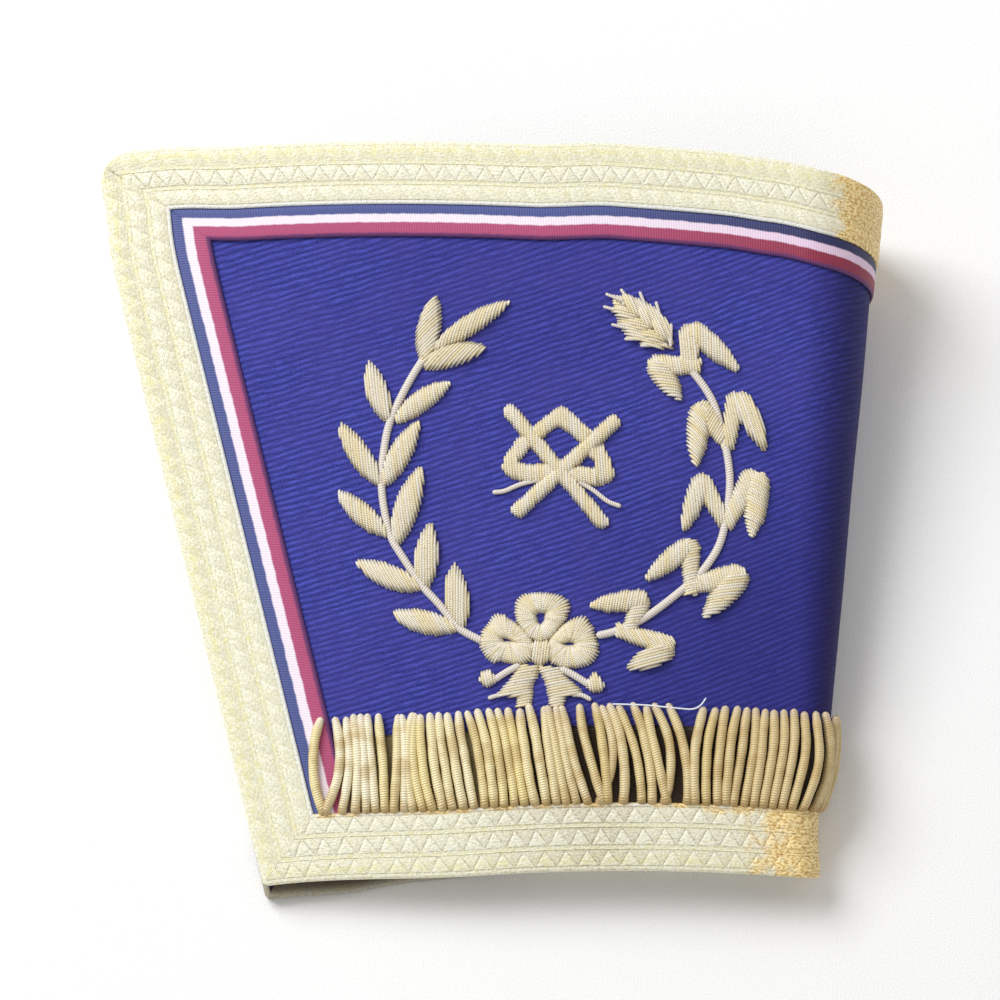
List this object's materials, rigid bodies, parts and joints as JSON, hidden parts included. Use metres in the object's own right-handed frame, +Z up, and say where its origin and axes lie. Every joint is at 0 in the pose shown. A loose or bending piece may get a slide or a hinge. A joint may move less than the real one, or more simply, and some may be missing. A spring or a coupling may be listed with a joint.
{
  "type": "masonic gauntlet cuff",
  "caption": "Conical cloth cuff for a wrist, with metal braid edges, a striped ribbon, a bullion fringe and a raised embroidered wreath.",
  "frame": {"origin": "on the surface that the cuff lies on, under the middle of its box", "axes": "+X across the cuff towards its folded side, +Y up the arm from the wrist rim to the wide rim, +Z up"},
  "size_m": [0.1696, 0.1592, 0.038],
  "materials": {
    "blue_faille": "ribbed violet-blue silk with a soft sheen, over a stiff interlining",
    "gold_braid": "woven pale gold metal braid with raised cord lines and zigzag lanes",
    "tricolour_ribbon": "fine ribbed ribbon, navy, white and red stripes",
    "bullion": "coiled gilt wire, soft shine, darker between the strands",
    "metal_thread": "champagne gold satin stitch in metal thread over padding",
    "dark_tape": "plain dark tape"
  },
  "bodies": {
    "root": {"cuff_wall": "blue_faille", "braid_wide_rim": "gold_braid", "braid_wrist_rim": "gold_braid", "braid_front_end": "gold_braid", "braid_back_end": "gold_braid", "tricolour_ribbon": "tricolour_ribbon", "bullion_fringe": "bullion", "laurel_branch": "metal_thread", "wheat_branch": "metal_thread", "bow": "metal_thread", "crossed_rods": "metal_thread", "closing_tape": "dark_tape"}
  },
  "joints": []
}
